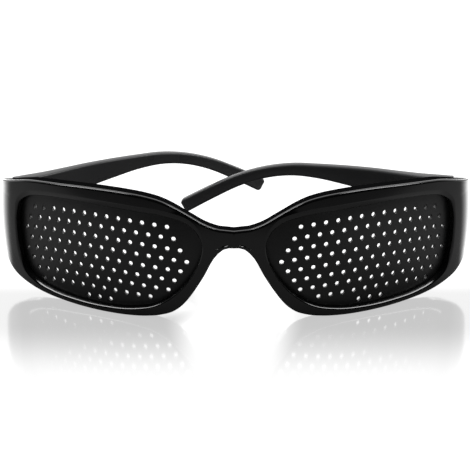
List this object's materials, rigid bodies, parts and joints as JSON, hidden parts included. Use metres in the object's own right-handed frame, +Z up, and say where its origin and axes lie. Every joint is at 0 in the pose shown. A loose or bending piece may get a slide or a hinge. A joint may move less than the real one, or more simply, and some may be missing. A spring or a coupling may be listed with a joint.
{
  "type": "pinhole glasses",
  "caption": "Wraparound pinhole glasses: a one-piece plastic front holding perforated panels, with folding temples on screwed hinges.",
  "frame": {"origin": "middle of the bridge's underside at its back edge, where the glasses sit on the nose", "axes": "+X towards the wearer's left, -Y forward, away from the face, +Z up as worn"},
  "size_m": [0.1496, 0.0835, 0.04],
  "materials": {
    "front": "polished black injection-moulded plastic",
    "temple": "polished black injection-moulded plastic",
    "panel": "satin black moulded plastic sheet with pinholes",
    "hinge_metal": "small steel hinge leaves and slotted screws"
  },
  "bodies": {
    "front": {"front_frame": "front", "left_lens": "panel", "right_lens": "panel", "left_front_hinge_leaf": "hinge_metal", "right_front_hinge_leaf": "hinge_metal", "left_hinge_screw": "hinge_metal", "right_hinge_screw": "hinge_metal"},
    "left_arm": {"left_temple": "temple", "left_temple_hinge_leaf": "hinge_metal"},
    "right_arm": {"right_temple": "temple", "right_temple_hinge_leaf": "hinge_metal"}
  },
  "joints": [
    {"name": "left_temple_fold", "type": "hinge", "parent": "front", "child": "left_arm", "pos_m": [0.06821, 0.03219, 0.0001], "axis": [0, 0, -1], "range_deg": [-9, 77]},
    {"name": "right_temple_fold", "type": "hinge", "parent": "front", "child": "right_arm", "pos_m": [-0.06821, 0.03219, 0.0001], "axis": [0, 0, 1], "range_deg": [-7.3, 62]}
  ],
  "couplings": [
    {"joint": "right_temple_fold", "follows": "left_temple_fold", "ratio": 0.805}
  ]
}
